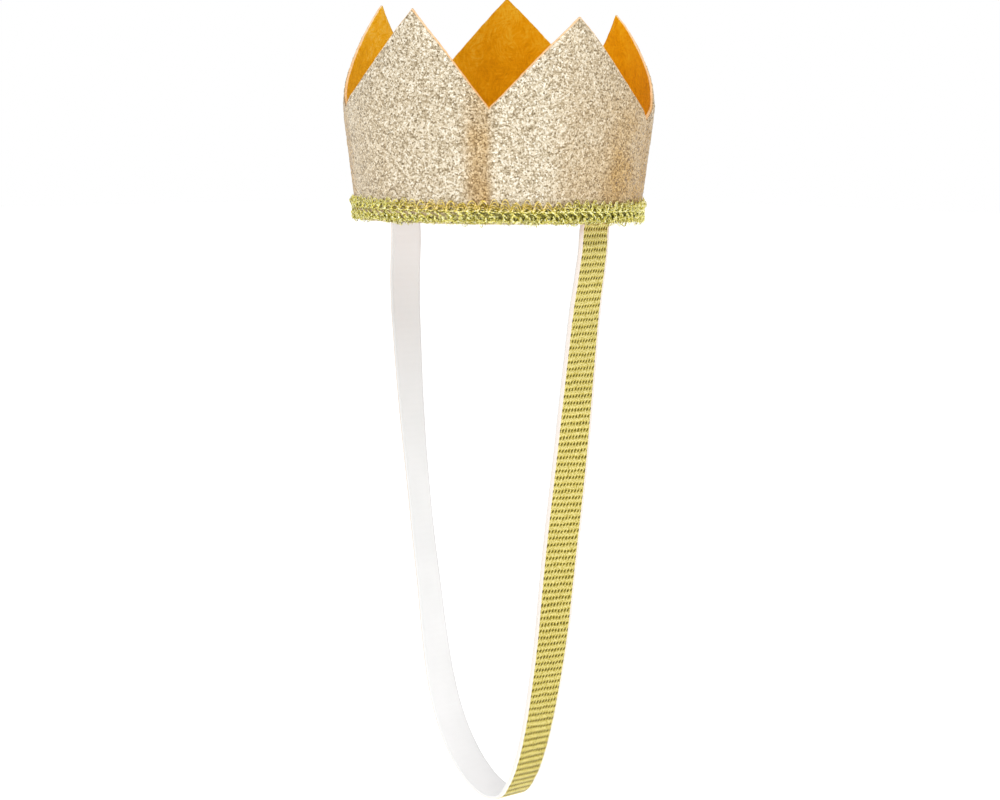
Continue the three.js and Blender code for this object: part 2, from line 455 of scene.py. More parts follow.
def glitter_material():
    """Champagne flakes about half a millimetre wide, each with its own shade and tilt, tan and painted
    darker at the bends, partly their own tan tone and partly painted crease shade.
    """
    g = Graph("glitter_sheet", Metallic=0.35, IOR=1.5, Specular_IOR_Level=0.35)
    place = g.place()
    flake = g.cells(place, 0.5 * MM)
    speck = g.cells(place, 0.3 * MM)
    shade, _, _ = g.split(flake)
    fine, _, _ = g.split(speck)
    mixed = g.math("ADD", g.math("MULTIPLY", shade, 0.6), g.math("MULTIPLY", fine, 0.4))
    colour = g.ramp(
        mixed,
        [
            (0.10, (0.22, 0.165, 0.09)),
            (0.32, (0.42, 0.335, 0.21)),
            (0.52, (0.63, 0.54, 0.39)),
            (0.72, (0.78, 0.70, 0.55)),
            (0.90, (0.93, 0.89, 0.78)),
        ],
    )
    # painted shade: tan and darker at the bends and creases, more towards the rim, partly the sheet's own
    # tan tone
    tan_and_crease_shade = g.by_turn(place, TAN_AND_CREASE_SHADE)
    _, _, height = g.split(place)
    lower = g.math("SUBTRACT", TAN_AT_RIM, g.math("MULTIPLY", height, TAN_FALL))
    uneven = g.math("MULTIPLY", lower, g.math("ADD", g.noise(place, 9 * MM, detail=1.0), 0.5))
    tan_and_shaded = g.mix(g.math("MULTIPLY", tan_and_crease_shade, uneven), colour, (0.72, 0.53, 0.28, 1), "MULTIPLY")
    tilt = g.node("VectorMath", {0: flake, 1: (0.5, 0.5, 0.5)}, operation="SUBTRACT").outputs[0]
    normal = g.node("NewGeometry", {}).outputs["Normal"]
    leaned = g.shifted(g.scaled(tilt, (FLAKE_TILT, FLAKE_TILT, FLAKE_TILT)), normal)
    facing = g.node("VectorMath", {0: leaned}, operation="NORMALIZE").outputs[0]
    rough = g.math("ADD", g.math("MULTIPLY", fine, 0.25), 0.22)
    return g.use(Base_Color=tan_and_shaded, Normal=facing, Roughness=rough)


def felt_material(name, deep, middle, pale, side_light=None):
    """Matted wool with darker streaks of fibre, with painted shade that makes it deeper low down and paler
    towards the points, and an optional painted side light that tints it paler on one side of the crown and
    deeper on the other.
    """
    g = Graph(name, Roughness=0.95, Specular_IOR_Level=0.04, Sheen_Weight=0.02, Sheen_Roughness=0.4)
    place = g.place()
    swirl = g.node("TexNoise", {"Vector": place, "Scale": 1 / (9 * MM), "Detail": 1.0}).outputs["Color"]
    bent = g.shifted(g.scaled(swirl, (FELT_SWIRL, FELT_SWIRL, FELT_SWIRL)), place)
    upright = g.noise(g.scaled(bent, (1.0, 1.0, 0.22)), 0.7 * MM, detail=3.0, roughness=0.6)
    level = g.noise(g.scaled(bent, (0.25, 0.25, 1.0)), 0.6 * MM, detail=3.0, roughness=0.6)
    streaks = g.math("ADD", g.math("MULTIPLY", upright, 0.6), g.math("MULTIPLY", level, 0.4))
    clouds = g.noise(place, 7 * MM, detail=2.0)
    both = g.math("ADD", g.math("MULTIPLY", streaks, 0.75), g.math("MULTIPLY", clouds, 0.25))
    _, _, height = g.split(place)
    # painted shade: the felt is painted deeper low inside the crown and paler towards the points
    height_shade = g.math("MULTIPLY", g.math("SUBTRACT", height, FELT_SHADE_HEIGHT), FELT_SHADE_PALING)
    shade = g.math("ADD", both, height_shade)
    colour = g.ramp(shade, [(0.30, deep), (0.50, middle), (0.72, pale)])
    # painted light: the side tint makes the felt paler on the lit side of the crown and deeper on the other
    if side_light:
        inputs = {0: place, 1: (math.cos(SIDE_LIGHT_TURN), math.sin(SIDE_LIGHT_TURN), 0)}
        toward_light = g.node("VectorMath", inputs, operation="DOT_PRODUCT").outputs["Value"]
        share = g.math("ADD", g.math("DIVIDE", toward_light, CROWN_WIDTH), 0.5)
        colour = g.mix(1.0, colour, g.ramp(share, side_light), "MULTIPLY")
    bumped = g.bump(streaks, 0.25 * MM, 0.8)
    return g.use(Base_Color=colour, Normal=bumped)


def lurex_material(name, dark, middle, pale):
    """Flat metallic thread, lime or golden, with dull patches beside bright ones, partly its own uneven tone
    and partly painted shade and painted highlight.
    """
    g = Graph(name, Metallic=0.7)
    place = g.place()
    patches = g.noise(place, 0.5 * MM, detail=2.0, roughness=0.6)
    # the pale and dark patches are partly painted highlight and painted shade
    tone_and_painted_light = g.ramp(patches, [(0.38, dark), (0.50, middle), (0.61, pale)])
    _, _, height = g.split(place)
    upper = g.ramp(g.math("DIVIDE", height, 10 * MM), [(0.32, (0, 0, 0)), (0.44, (1, 1, 1))])
    golden = g.math("MULTIPLY", upper, g.by_turn(place, GOLDEN_LOOPS))
    colour = g.mix(golden, tone_and_painted_light, (1.0, 0.84, 0.70, 1), "MULTIPLY")
    rough = g.math("ADD", g.math("MULTIPLY", patches, 0.3), 0.16)
    bumped = g.bump(g.noise(place, 0.18 * MM), 0.05 * MM, 0.6)
    return g.use(Base_Color=colour, Roughness=rough, Normal=bumped)


def ground_material():
    """The braid's knitted ground: dark olive, or champagne where the braid is thin."""
    g = Graph("lurex_ground", Metallic=0.4)
    place = g.place()
    patches = g.noise(place, 0.5 * MM, detail=2.0, roughness=0.6)
    olive = g.ramp(
        patches,
        [
            (0.38, (0.05, 0.047, 0.004)),
            (0.50, (0.16, 0.15, 0.012)),
            (0.61, (0.42, 0.36, 0.06)),
        ],
    )
    champagne = g.ramp(patches, [(0.38, (0.50, 0.36, 0.17)), (0.61, (0.92, 0.78, 0.55))])
    colour = g.mix(g.by_turn(place, CHAMPAGNE_GROUND), olive, champagne)
    bumped = g.bump(g.noise(place, 0.18 * MM), 0.05 * MM, 0.6)
    return g.use(Base_Color=colour, Normal=bumped)


def sewing_material():
    """Matt twisted thread, a little paler than the felt."""
    g = Graph("sewing_thread", Roughness=0.75, Sheen_Weight=0.2)
    place = g.place()
    fibres = g.noise(place, 0.2 * MM, detail=2.0)
    colour = g.ramp(fibres, [(0.35, (0.52, 0.33, 0.09)), (0.65, (0.86, 0.66, 0.30))])
    return g.use(Base_Color=colour, Normal=g.bump(fibres, 0.05 * MM, 0.5))


def ribbon_gold_material():
    """Rows of slanted metallic dashes, bright on each rib and olive between ribs, with painted shade that
    makes them deeper near the bottom.
    """
    g = Graph("ribbon_gold", Metallic=0.75)
    across, along, _ = g.split(g.uv("ribbon"))
    place = g.place()
    wander = g.math("MULTIPLY", g.noise(place, 2.5 * MM), 0.35)
    rows = g.math("ADD", along, wander)
    valley = g.half(g.math("COSINE", g.math("MULTIPLY", rows, 2 * math.pi)))
    slant = g.math("ADD", across, g.math("MULTIPLY", along, -0.45))
    dash = g.half(g.math("SINE", g.math("MULTIPLY", slant, 2 * math.pi)))
    dark = g.math("MULTIPLY", g.math("POWER", valley, 1.6), g.math("POWER", dash, 0.8))
    specks = g.noise(place, 0.32 * MM, detail=1.0)
    lively = g.math("SUBTRACT", g.math("ADD", specks, 0.28), g.math("MULTIPLY", dark, 0.75))
    colour = g.ramp(
        lively,
        [
            (0.20, (0.09, 0.07, 0.005)),
            (0.42, (0.28, 0.22, 0.022)),
            (0.64, (0.52, 0.42, 0.08)),
            (0.88, (0.79, 0.70, 0.29)),
        ],
    )
    _, _, height = g.split(place)
    # painted shade: the gold face is painted darker towards the bottom
    lower = g.math("SUBTRACT", g.math("MULTIPLY", height, -GOLD_SHADE_DEEPENING), GOLD_EVEN)
    shaded = g.mix(g.math("MAXIMUM", lower, 0.0), colour, (0.84, 0.83, 0.70, 1), "MULTIPLY")
    rough = g.math("ADD", g.math("MULTIPLY", specks, 0.3), 0.15)
    bumped = g.bump(lively, 0.12 * MM, 0.8)
    return g.use(Base_Color=shaded, Roughness=rough, Normal=bumped)


def ribbon_white_material(name, dull_and_shaded, clean_and_lit):
    """The ribbon's white back, with faint cross ribs and long wales, in soiled patches, with painted shade
    that makes it duller near the crown and lighter lower down.
    """
    g = Graph(name, Roughness=0.7, Sheen_Weight=0.1)
    across, along, _ = g.split(g.uv("ribbon"))
    ribs = g.half(g.math("SINE", g.math("MULTIPLY", along, 2 * math.pi)))
    wales = g.half(g.math("SINE", g.math("MULTIPLY", across, 4 * math.pi)))
    knit = g.math("ADD", g.math("MULTIPLY", ribs, 0.6), g.math("MULTIPLY", wales, 0.4))
    place = g.place()
    _, _, height = g.split(place)
    soil = g.math("MULTIPLY", g.noise(place, 14 * MM), 0.4)
    # random soiled patches, plus painted light that makes the white paler lower down
    soil_and_light = g.math("SUBTRACT", soil, g.math("MULTIPLY", height, WHITE_LIGHTENING))
    colour = g.ramp(g.math("POWER", soil_and_light, 2.0), [(0.0, dull_and_shaded), (1.0, clean_and_lit)])
    return g.use(Base_Color=colour, Normal=g.bump(knit, 0.05 * MM, 0.5))


# ---------------------------------------------------------------- camera


def add_camera():
    """The camera, level first, then turned right, tipped down and rolled."""
    right = Vector((math.cos(CAMERA_TURN), math.sin(CAMERA_TURN), 0))
    ahead = Vector((-math.sin(CAMERA_TURN), math.cos(CAMERA_TURN), 0))
    up = Vector((0, 0, 1))
    place = CAMERA_RIGHT * right - CAMERA_DISTANCE * ahead + CAMERA_HEIGHT * up
    axes = Matrix((right, up, -ahead)).transposed()
    turned = (
        Matrix.Rotation(-CAMERA_YAW, 3, "Y")
        @ Matrix.Rotation(-CAMERA_PITCH, 3, "X")
        @ Matrix.Rotation(CAMERA_ROLL, 3, "Z")
    )
    data = bpy.data.cameras.new("camera")
    data.lens = CAMERA_LENS
    data.sensor_width = 36
    camera = bpy.data.objects.new("camera", data)
    bpy.context.scene.collection.objects.link(camera)
    camera.matrix_world = Matrix.Translation(place) @ (axes @ turned).to_4x4()
    bpy.context.scene.camera = camera


# ---------------------------------------------------------------- strap


def smooth_curve(points, step):
    """Evenly spaced points, about step apart, on a smooth curve through the given ones."""
    points = np.asarray(points, float)
    knots = np.concatenate([[0], np.cumsum(np.linalg.norm(np.diff(points, axis=0), axis=1))])
    slopes = np.gradient(points, knots, axis=0)
    at = np.linspace(0, knots[-1], 6000)
    i = np.clip(np.searchsorted(knots, at, side="right") - 1, 0, len(knots) - 2)
    span = (knots[i + 1] - knots[i])[:, None]
    t = (at - knots[i])[:, None] / span
    dense = (
        (1 + 2 * t) * (1 - t) ** 2 * points[i]
        + t * (1 - t) ** 2 * span * slopes[i]
        + t**2 * (3 - 2 * t) * points[i + 1]
        + t**2 * (t - 1) * span * slopes[i + 1]
    )
    length = np.concatenate([[0], np.cumsum(np.linalg.norm(np.diff(dense, axis=0), axis=1))])
    even = np.linspace(0, length[-1], round(length[-1] / step) + 1)
    return np.stack([np.interp(even, length, c) for c in dense.T], -1), even


def strap_relief(across, along):
    """How far the gold face stands out: ribs across the ribbon, each a row of slanted dashes."""
    inside = STRAP_WIDTH / 2 - SELVAGE - np.abs(across)
    covered = np.clip(inside / (0.5 * MM), 0, 1)
    wander = 0.12 * np.sin(along / (9 * MM)) + 0.06 * np.sin(across / (1.7 * MM) + along / (5 * MM))
    crest = 0.5 - 0.5 * np.cos(2 * math.pi * (along / RIB_PITCH + wander))
    slant = across / (STRAP_WIDTH - 2 * SELVAGE) * CORDS_ACROSS - 0.45 * along / RIB_PITCH
    dash = 0.5 - 0.5 * np.sin(2 * math.pi * slant)
    return covered * RIB_HEIGHT * (0.15 + 0.5 * crest**0.8 + 0.35 * dash)


def slip(points):
    """How far along Y the ribbon has slipped at those points: most at the rim, and less away from it."""
    distance = np.hypot(points[:, 2], STRAP_SLIP_EASE) - STRAP_SLIP_EASE
    at_rim = np.where(points[:, 0] < 0, STRAP_SLIP_LEFT, STRAP_SLIP_RIGHT)
    return at_rim * np.exp(-distance / STRAP_SLIP_REACH)


def ribbon_section():
    """The ribbon's section: places across it, places through it, and 1 where a point is on the gold face."""
    half, thick = STRAP_WIDTH / 2, STRAP_THICKNESS / 2
    gold = np.linspace(-half + RIBBON_EDGE, half - RIBBON_EDGE, GOLD_POINTS)
    white = np.linspace(half - RIBBON_EDGE, -half + RIBBON_EDGE, WHITE_POINTS)
    edge = np.array([half])
    across = np.concatenate([gold, edge, white, -edge])
    through = np.concatenate([np.full(GOLD_POINTS, -thick), [0], np.full(WHITE_POINTS, thick), [0]])
    is_gold = np.concatenate([np.ones(GOLD_POINTS), [0], np.zeros(WHITE_POINTS), [0]])
    return across, through, is_gold


def ribbon_slots(across, is_gold, rings):
    """The material of each of the ribbon's faces: 0 on the gold ribs, 1 on the back, 2 on the selvages."""
    on_ribs = np.abs(across) < STRAP_WIDTH / 2 - SELVAGE
    ribs = (is_gold > 0) & on_ribs & np.roll(on_ribs, -1) & (np.roll(is_gold, -1) > 0)
    selvage = ~ribs & (is_gold > 0)
    around = np.where(ribs, 0, np.where(selvage, 2, 1))
    end_caps = [1, 1]
    return np.concatenate([np.tile(around, rings - 1), end_caps])


def unwrap_ribbon(strap, across, along):
    """Texture coordinates that count dashes across the ribbon and ribs along it."""
    shape = len(along), len(across)
    dashes = np.broadcast_to(across / (STRAP_WIDTH - 2 * SELVAGE) * CORDS_ACROSS, shape)
    ribs = np.broadcast_to(along[:, None] / RIB_PITCH, shape)
    uv = np.stack([dashes, ribs], -1).reshape(-1, 2)
    corners = np.empty(len(strap.data.loops), np.int32)
    strap.data.loops.foreach_get("vertex_index", corners)
    layer = strap.data.uv_layers.new(name="ribbon")
    layer.data.foreach_set("uv", uv[corners].astype(np.float32).ravel())


def add_strap():
    """The whole elastic ribbon: sewn ends, hanging loop, gold ribs outside and white inside."""
    route = np.array([(x, 0, z) for x, z in STRAP_ROUTE])
    centre, along = smooth_curve(route, STRAP_STEP)
    slipped = slip(centre)
    centre[:, 1] += slipped
    tangent = unit(np.gradient(centre, axis=0))
    loop = np.clip((along - SEWN_LENGTH) / (along[-1] - 2 * SEWN_LENGTH), 0, 1)
    twist = (STRAP_TWIST * np.sin(2 * math.pi * loop) ** 2 - slipped / STRAP_END_RADIUS)[:, None]
    level = np.array([0.0, -1.0, 0.0])
    side = level * np.cos(twist) + np.cross(tangent, level) * np.sin(twist)
    inward = np.cross(tangent, side)

    across, through, is_gold = ribbon_section()
    depth = through - is_gold * strap_relief(across, along[:, None])
    rings = centre[:, None] + side[:, None] * across[:, None] + inward[:, None] * depth[..., None]
    faces = loft_faces(1, *rings.shape[:2])
    slots = ribbon_slots(across, is_gold, len(rings))
    white = ribbon_white_material("ribbon_white", (0.725, 0.73, 0.72), (0.91, 0.90, 0.90))
    selvage = ribbon_white_material("ribbon_edge", (0.76, 0.68, 0.62), (0.84, 0.80, 0.74))
    materials = [ribbon_gold_material(), white, selvage]
    strap = add_mesh("chin_strap", rings, faces, materials, material_index=slots)
    unwrap_ribbon(strap, across, along)

    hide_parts("strap_loop", "strap_end_right", "strap_end_left")
    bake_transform(strap)


# ---------------------------------------------------------------- crown wall


class Wall:
    """A CAD layer of the crown's wall, read back as turns, heights and two radii."""

    def __init__(self, node):
        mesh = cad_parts[node].data
        points = np.array([v.co for v in mesh.vertices])
        turn = np.degrees(np.arctan2(points[:, 0], -points[:, 1]))
        turn = SEAM_TURN + np.mod(turn - SEAM_TURN, 360)
        table = np.stack([np.round(turn, 2), points[:, 2], np.hypot(points[:, 0], points[:, 1])], -1)
        table = np.unique(np.round(table, 7), axis=0)
        self.turns = np.unique(table[:, 0])
        columns = [table[np.abs(table[:, 0] - t) < SAME_TURN] for t in self.turns]
        heights = [self.levels(c) for c in columns]
        self.heights = np.array([[z for z, _, _ in h] for h in heights])
        self.inner = np.array([[low for _, low, _ in h] for h in heights])
        self.outer = np.array([[high for _, _, high in h] for h in heights])

    @staticmethod
    def levels(column):
        """One column's (height, inner radius, outer radius) from the rim up."""
        rows = []
        for z in np.unique(np.round(column[:, 1], 6)):
            radii = column[np.abs(column[:, 1] - z) < SAME_LEVEL, 2]
            rows.append((z, radii.min(), radii.max()))
        return rows

    def fine_turns(self, step):
        """Turns about step apart along the rim, which keep every turn of the CAD layer."""
        radius = self.outer[0, 0]
        parts = []
        for a, b in zip(self.turns[:-1], self.turns[1:]):
            count = max(1, round(math.radians(b - a) * radius * WALL_WIDENING / step))
            parts.append(np.linspace(a, b, count, endpoint=False))
        return np.concatenate([*parts, self.turns[-1:]])

    def sample(self, turns, rows):
        """Heights and radii at those turns, in that many rows, as arrays of (column, row)."""
        share = np.linspace(0, 1, rows)
        own = np.linspace(0, 1, self.heights.shape[1])

        def spread(values):
            taller = np.stack([np.interp(share, own, v) for v in values])
            return np.stack([np.interp(turns, self.turns, v) for v in taller.T], -1)

        heights, inner, outer = spread(self.heights), spread(self.inner), spread(self.outer)
        stray = np.interp(turns, *np.transpose(CUT_STRAY)) * MM
        rise = heights * (stray / heights[:, -1])[:, None]
        slope = np.gradient(outer, axis=1) / np.gradient(heights, axis=1)
        return heights + rise, inner + slope * rise, outer + slope * rise


def panel_offset(turns, heights):
    """The wall is a little flat between its creases, more so above the braid."""
    creases = np.array(sorted([c + 360 * k for c in CREASES for k in (0, 1)]))
    turn = turns[:, None] + 0 * heights
    i = np.searchsorted(creases, turn) - 1
    low, high = creases[i], creases[i + 1]
    middle, half = (low + high) / 2, (high - low) / 2
    angle = np.radians(np.abs(turn - middle))
    chord = np.cos(np.radians(half)) / np.cos(angle)
    rise = np.clip((heights - PANEL_LOW) / PANEL_BLEND, 0, 1)
    return PANEL_FLATNESS * WALL_RADIUS * (chord - 1) * rise


def cylinder(turns, radii, heights):
    """Points from turns in degrees, radii and heights."""
    angle = np.radians(turns)
    return np.stack([radii * np.sin(angle), -radii * np.cos(angle), heights], -1)


def add_glitter_shell(wall):
    """Glitter fabric: one closed sheet whose outside is a rough field of small tilted facets."""
    turns = wall.fine_turns(GLITTER_STEP)
    heights, _, outer = wall.sample(turns, GLITTER_ROWS)
    offset = panel_offset(turns, heights)
    turn = np.repeat(turns[:, None], GLITTER_ROWS, 1)
    step = math.degrees(GLITTER_STEP / WALL_RADIUS)
    rise = np.gradient(heights, axis=1)
    inside = (slice(1, -1), slice(1, -1))
    shifted_turn, shifted_height = turn.copy(), heights.copy()
    shifted_turn[inside] += random.uniform(-FLAKE_SHIFT, FLAKE_SHIFT, turn.shape)[inside] * step
    shifted_height[inside] += random.uniform(-FLAKE_SHIFT, FLAKE_SHIFT, turn.shape)[inside] * rise[inside]
    relief = random.normal(0, FLAKE_RELIEF, turn.shape).clip(-2 * FLAKE_RELIEF, 2 * FLAKE_RELIEF)
    front = cylinder(shifted_turn, outer + offset + relief, shifted_height)
    back = cylinder(turn, outer + offset - GLITTER_SHEET, heights)
    faces = sheet_faces(len(turns), GLITTER_ROWS)
    smooth = np.concatenate([np.full(len(f), k == 1) for k, f in enumerate(faces)])
    shell = add_mesh("glitter_sheet", np.stack([front, back]), faces, [glitter_material()], smooth)
    finish_piece(shell, "glitter_sheet", "glitter_shell")


def add_felt(wall):
    """The felt lining: a soft uneven sheet whose cut edge stands a little proud."""
    turns = wall.fine_turns(FELT_STEP)
    heights, inner, outer = wall.sample(turns, FELT_ROWS)
    offset = panel_offset(turns, heights)
    share = np.linspace(0, 1, FELT_ROWS)
    inside = inner + FELT_THINNING * share**5 + offset
    outside = outer + FELT_FILL + offset
    raised = heights + FELT_PROUD * share**20
    front = cylinder(turns[:, None], outside, raised)
    even = cylinder(turns[:, None], inside, raised)
    lumps = 0.6 * noise_at(even, 1.6 * MM) + 0.4 * noise_at(even, 0.7 * MM)
    pillow = 1 - 0.5 * share**20 - 0.5 * (1 - share) ** 20
    back = cylinder(turns[:, None], inside - FELT_RELIEF * lumps - FELT_PILLOW * pillow, raised)
    ragged = noise_at(front[:, -1], 0.9 * MM) * FELT_CUT_ROUGHNESS
    front[:, -1, 2] += ragged
    back[:, -1, 2] += ragged
    faces = sheet_faces(len(turns), FELT_ROWS)
    # painted light: tints from the lit side of the crown to its shaded side
    side_light = [(0.10, (0.87, 1.0, 1.0)), (0.42, (0.69, 0.66, 0.30)), (0.90, (0.92, 0.84, 0.15))]
    face = felt_material("felt_face", (0.65, 0.25, 0.003), (0.90, 0.39, 0.008), (1.0, 0.61, 0.12), side_light)
    cut = felt_material("felt_cut", (0.80, 0.44, 0.16), (0.95, 0.62, 0.34), (1.0, 0.78, 0.54))
    index = np.concatenate([np.full(len(f), k > 1) for k, f in enumerate(faces)])
    index[FELT_ROWS - 2 : len(faces[0]) : FELT_ROWS - 1] = 1  # the top row of the front is cut felt too
    felt = add_mesh("felt_sheet", np.stack([front, back]), faces, [face, cut], material_index=index)
    finish_piece(felt, "felt", "felt_lining")


# ---------------------------------------------------------------- braid


class Rim:
    """Where the wall's outside is, low down, at any distance along the rim."""

    def __init__(self, wall):
        self.radius = wall.outer[0, 0]
        self.flare = (np.interp(10 * MM, wall.heights[0], wall.outer[0]) - self.radius) / (10 * MM)
        self.around = 2 * math.pi * self.radius

    def points(self, along, height, out):
        """Points at distances along the rim from the seam, at heights, out from the wall."""
        turns = SEAM_TURN + 360 * along / self.around
        raised = BRAID_ASKEW * np.cos(np.radians(turns - BRAID_HIGHEST))
        return cylinder(turns, self.radius + self.flare * height + out, height + raised)


def wobble(along, size, amount):
    """A slow random drift along a thread."""
    phases = random.uniform(0, 2 * math.pi, 4)
    lengths = size * np.array([1.0, 1.7, 2.9, 5.3])
    return amount * sum(np.sin(2 * math.pi * along / w + p) for w, p in zip(lengths, phases)) / 2


def loop_row(rim, base, top, out, swing, pitch, phase):
    """One thread that rises from base to top and back in a row of loops."""
    loops = round(rim.around / pitch)
    turn = np.linspace(0, loops, loops * LOOP_POINTS + 1)
    angle = 2 * math.pi * (turn + phase)
    size = 1 + wobble(turn, 1.7, 0.2)
    along = rim.around * turn / loops - swing * size * np.sin(angle)
    height = base + (top - base) * (0.5 - 0.5 * np.cos(angle)) * size + wobble(turn, 2.3, 0.1 * MM)
    depth = out + 0.25 * MM * np.sin(angle + 0.6) + wobble(turn, 1.3, 0.14 * MM)
    return rim.points(along, height, depth)


def loop_bundle(rim, threads, sizes, pitches, phase):
    """Threads that make the same loops side by side, each a little apart from the rest."""
    base, top, out, swing = np.array(sizes) * MM
    pitch = LOOP_PITCH * pitches
    apart = random.normal(0, 1, (threads, 5)) * [0.12 * MM, 0.24 * MM, 0.14 * MM, 0.12 * MM, 0.05]
    rows = [
        loop_row(rim, base + a, top + b, out + c, swing + d, pitch, phase + e) for a, b, c, d, e in apart
    ]
    return np.stack(rows)


def core_strand(rim, sizes, phase):
    """One strand of a flat plait that runs along the rim."""
    middle, spread, out = np.array(sizes) * MM
    repeats = round(rim.around / LOOP_PITCH)
    turn = np.linspace(0, repeats, repeats * STRAND_POINTS + 1)
    angle = 2 * math.pi * (turn + phase)
    height = middle + spread * np.sin(angle) + wobble(turn, 2.7, 0.1 * MM)
    depth = out + 0.12 * MM * np.sin(2 * angle) + wobble(turn, 2.1, 0.08 * MM)
    return rim.points(rim.around * turn / repeats, height, depth)[None]


def slants(rim, sizes, threads):
    """Short bundles of thread that slant from the core strands down to the lower loops."""
    high, low, out, lean = np.array(sizes) * MM
    count = round(rim.around / LOOP_PITCH)
    place = np.repeat(np.arange(count), threads) + random.normal(0, 0.07, count * threads)
    share = np.linspace(0, 1, 8)
    spread = random.normal(0, 1, (4, count * threads, 1)) * MM
    along = (rim.around * place / count)[:, None] + (lean + 0.2 * spread[0]) * share
    tops = high + 0.12 * spread[1]
    height = tops + (low + 0.25 * spread[2] - tops) * share**1.2
    depth = out + 0.55 * MM * np.sin(math.pi * share) + 0.12 * spread[3]
    return rim.points(along, height, depth)


def stray_filaments(rim, count):
    """Thin loose filaments that stand out of the loops, most of them along the bottom."""
    start = random.uniform(0, rim.around, (count, 1))
    share = np.linspace(0, 1, 6)
    low = random.random((count, 1)) < 0.62
    base = np.where(low, random.uniform(0.5, 1.6, (count, 1)), random.uniform(3.9, 5.2, (count, 1))) * MM
    reach = random.uniform(0.4, 1.7, (count, 1)) * np.where(low, -1, 0.6) * MM
    length = random.uniform(-1.3, 1.3, (count, 1)) * MM
    curl = random.uniform(0, 2 * math.pi, (count, 1))
    along = start + length * share + 0.3 * MM * np.sin(4 * share + curl)
    height = base + reach * np.sin(math.pi * share * 0.85)
    depth = random.uniform(0.5, 1.2, (count, 1)) * MM + 0.5 * MM * np.sin(math.pi * share + 0.3 * curl)
    return rim.points(along, height, depth)


def add_ground(rim):
    """The braid's knitted ground: a bumpy strip against the wall."""
    along = np.linspace(0, rim.around, GROUND_COLUMNS)[:, None]
    share = np.linspace(0, 1, GROUND_ROWS)
    height = GROUND_LOW + (GROUND_HIGH - GROUND_LOW) * share + 0 * along
    weave = np.sin(2 * math.pi * along / (1.6 * MM) + 5 * share) * np.sin(9 * share)
    swell = np.sin(math.pi * share) ** 0.5
    front = rim.points(along, height, (0.2 + 0.2 * swell + 0.1 * weave) * MM)
    back = rim.points(along, height, 0.02 * MM + 0 * weave)
    faces = sheet_faces(GROUND_COLUMNS, GROUND_ROWS)
    band = add_mesh("braid_ground", np.stack([front, back]), faces, [ground_material()])
    finish_piece(band, "metallic_thread")


def add_braid(rim):
    """The metallic braid: looped edges, a core of three strands and slanting threads below them."""
    bright = lurex_material("lurex_bright", (0.36, 0.31, 0.02), (1.0, 0.90, 0.20), (1.0, 1.0, 0.74))
    plain = lurex_material("lurex_plain", (0.08, 0.07, 0.005), (0.62, 0.54, 0.045), (1.0, 1.0, 0.54))
    add_ground(rim)

    for name, node, bundles in (
        ("braid_upper_loops", "trim_upper_loops", UPPER_LOOPS),
        ("braid_lower_loops", "trim_lower_loops", LOWER_LOOPS),
    ):
        loops = [(loop_bundle(rim, *bundle), THREAD) for bundle in bundles]
        piece = add_tubes(name, loops, [bright, plain, bright], 5)
        finish_piece(piece, "metallic_thread", node)

    core = [(core_strand(rim, sizes, phase), radius * MM) for sizes, phase, radius in CORE_STRANDS]
    core += [(slants(rim, sizes, threads), THREAD) for sizes, threads in SLANTS]
    piece = add_tubes("braid_core", core, [bright, plain, plain, bright, plain], 5)
    finish_piece(piece, "metallic_thread", "trim_core_cord")

    strays = [(stray_filaments(rim, count), radius) for count, radius in STRAYS]
    piece = add_tubes("braid_filaments", strays, [bright, plain], 4)
    finish_piece(piece, "metallic_thread")


# ---------------------------------------------------------------- sewing


def stitch_arcs(starts, ends, away, height):
    """Single stitches from starts to ends, which rise along away and dip in at both ends."""
    share = np.linspace(0, 1, STITCH_POINTS)[None, :, None]
    lift = (1.5 * np.sin(math.pi * share) - 0.35) * height
    return starts[:, None] + (ends - starts)[:, None] * share + away[:, None] * lift


def add_trim_stitches(thread):
    """A line of running stitches inside the felt that holds the braid on."""
    low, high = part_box("trim_stitching")
    felt = high.x + 0.3 * MM
    count = round(2 * math.pi * felt / TRIM_STITCH_PITCH)
    start = 360 * np.arange(count) / count + random.uniform(-0.5, 0.5, count)
    length = TRIM_STITCH_TURN + random.uniform(-0.4, 0.4, count)
    height = (low.z + high.z) / 2 + random.normal(0, 0.12 * MM, (2, count))
    starts, ends = cylinder(start, felt, height[0]), cylinder(start + length, felt, height[1])
    away = -unit(cylinder(start + length / 2, 1.0, 0 * start))
    stitches = stitch_arcs(starts, ends, away, 0.2 * MM)
    piece = add_tubes("braid_stitches", [(stitches, 0.17 * MM)], [thread], 6)
    finish_piece(piece, "sewing_thread", "trim_stitching")


def add_tack(node, name, thread):
    """A boxed cross of stitches that holds one end of the strap to the felt."""
    low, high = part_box(node)
    facing = math.copysign(1, low.x + high.x)
    slope = WALL_FLARE * facing
    base = (min(abs(low.x), abs(high.x)) + TACK_DEPTH) * facing
    left, right = low.y + TACK_INSET, high.y - TACK_INSET
    bottom, top = low.z + TACK_INSET, high.z - TACK_INSET
    corners = [
        np.array([base + slope * (z - low.z), y, z])
        for y, z in ((left, bottom), (right, bottom), (right, top), (left, top))
    ]
    starts, ends = [], []
    for a, b in ((0, 1), (1, 2), (2, 3), (3, 0), (0, 2), (1, 3)):
        line = corners[b] - corners[a]
        count = max(2, round(np.linalg.norm(line) / TACK_STITCH))
        for k in range(count):
            starts.append(corners[a] + line * (k + 0.06) / count)
            ends.append(corners[a] + line * (k + 0.94) / count)
    starts, ends = np.array(starts), np.array(ends)
    away = np.tile([-facing, 0.0, 0.0], (len(starts), 1))
    stitches = stitch_arcs(starts, ends, away, 0.2 * MM)
    piece = add_tubes(name, [(stitches, 0.16 * MM)], [thread], 6)
    finish_piece(piece, "sewing_thread", node)


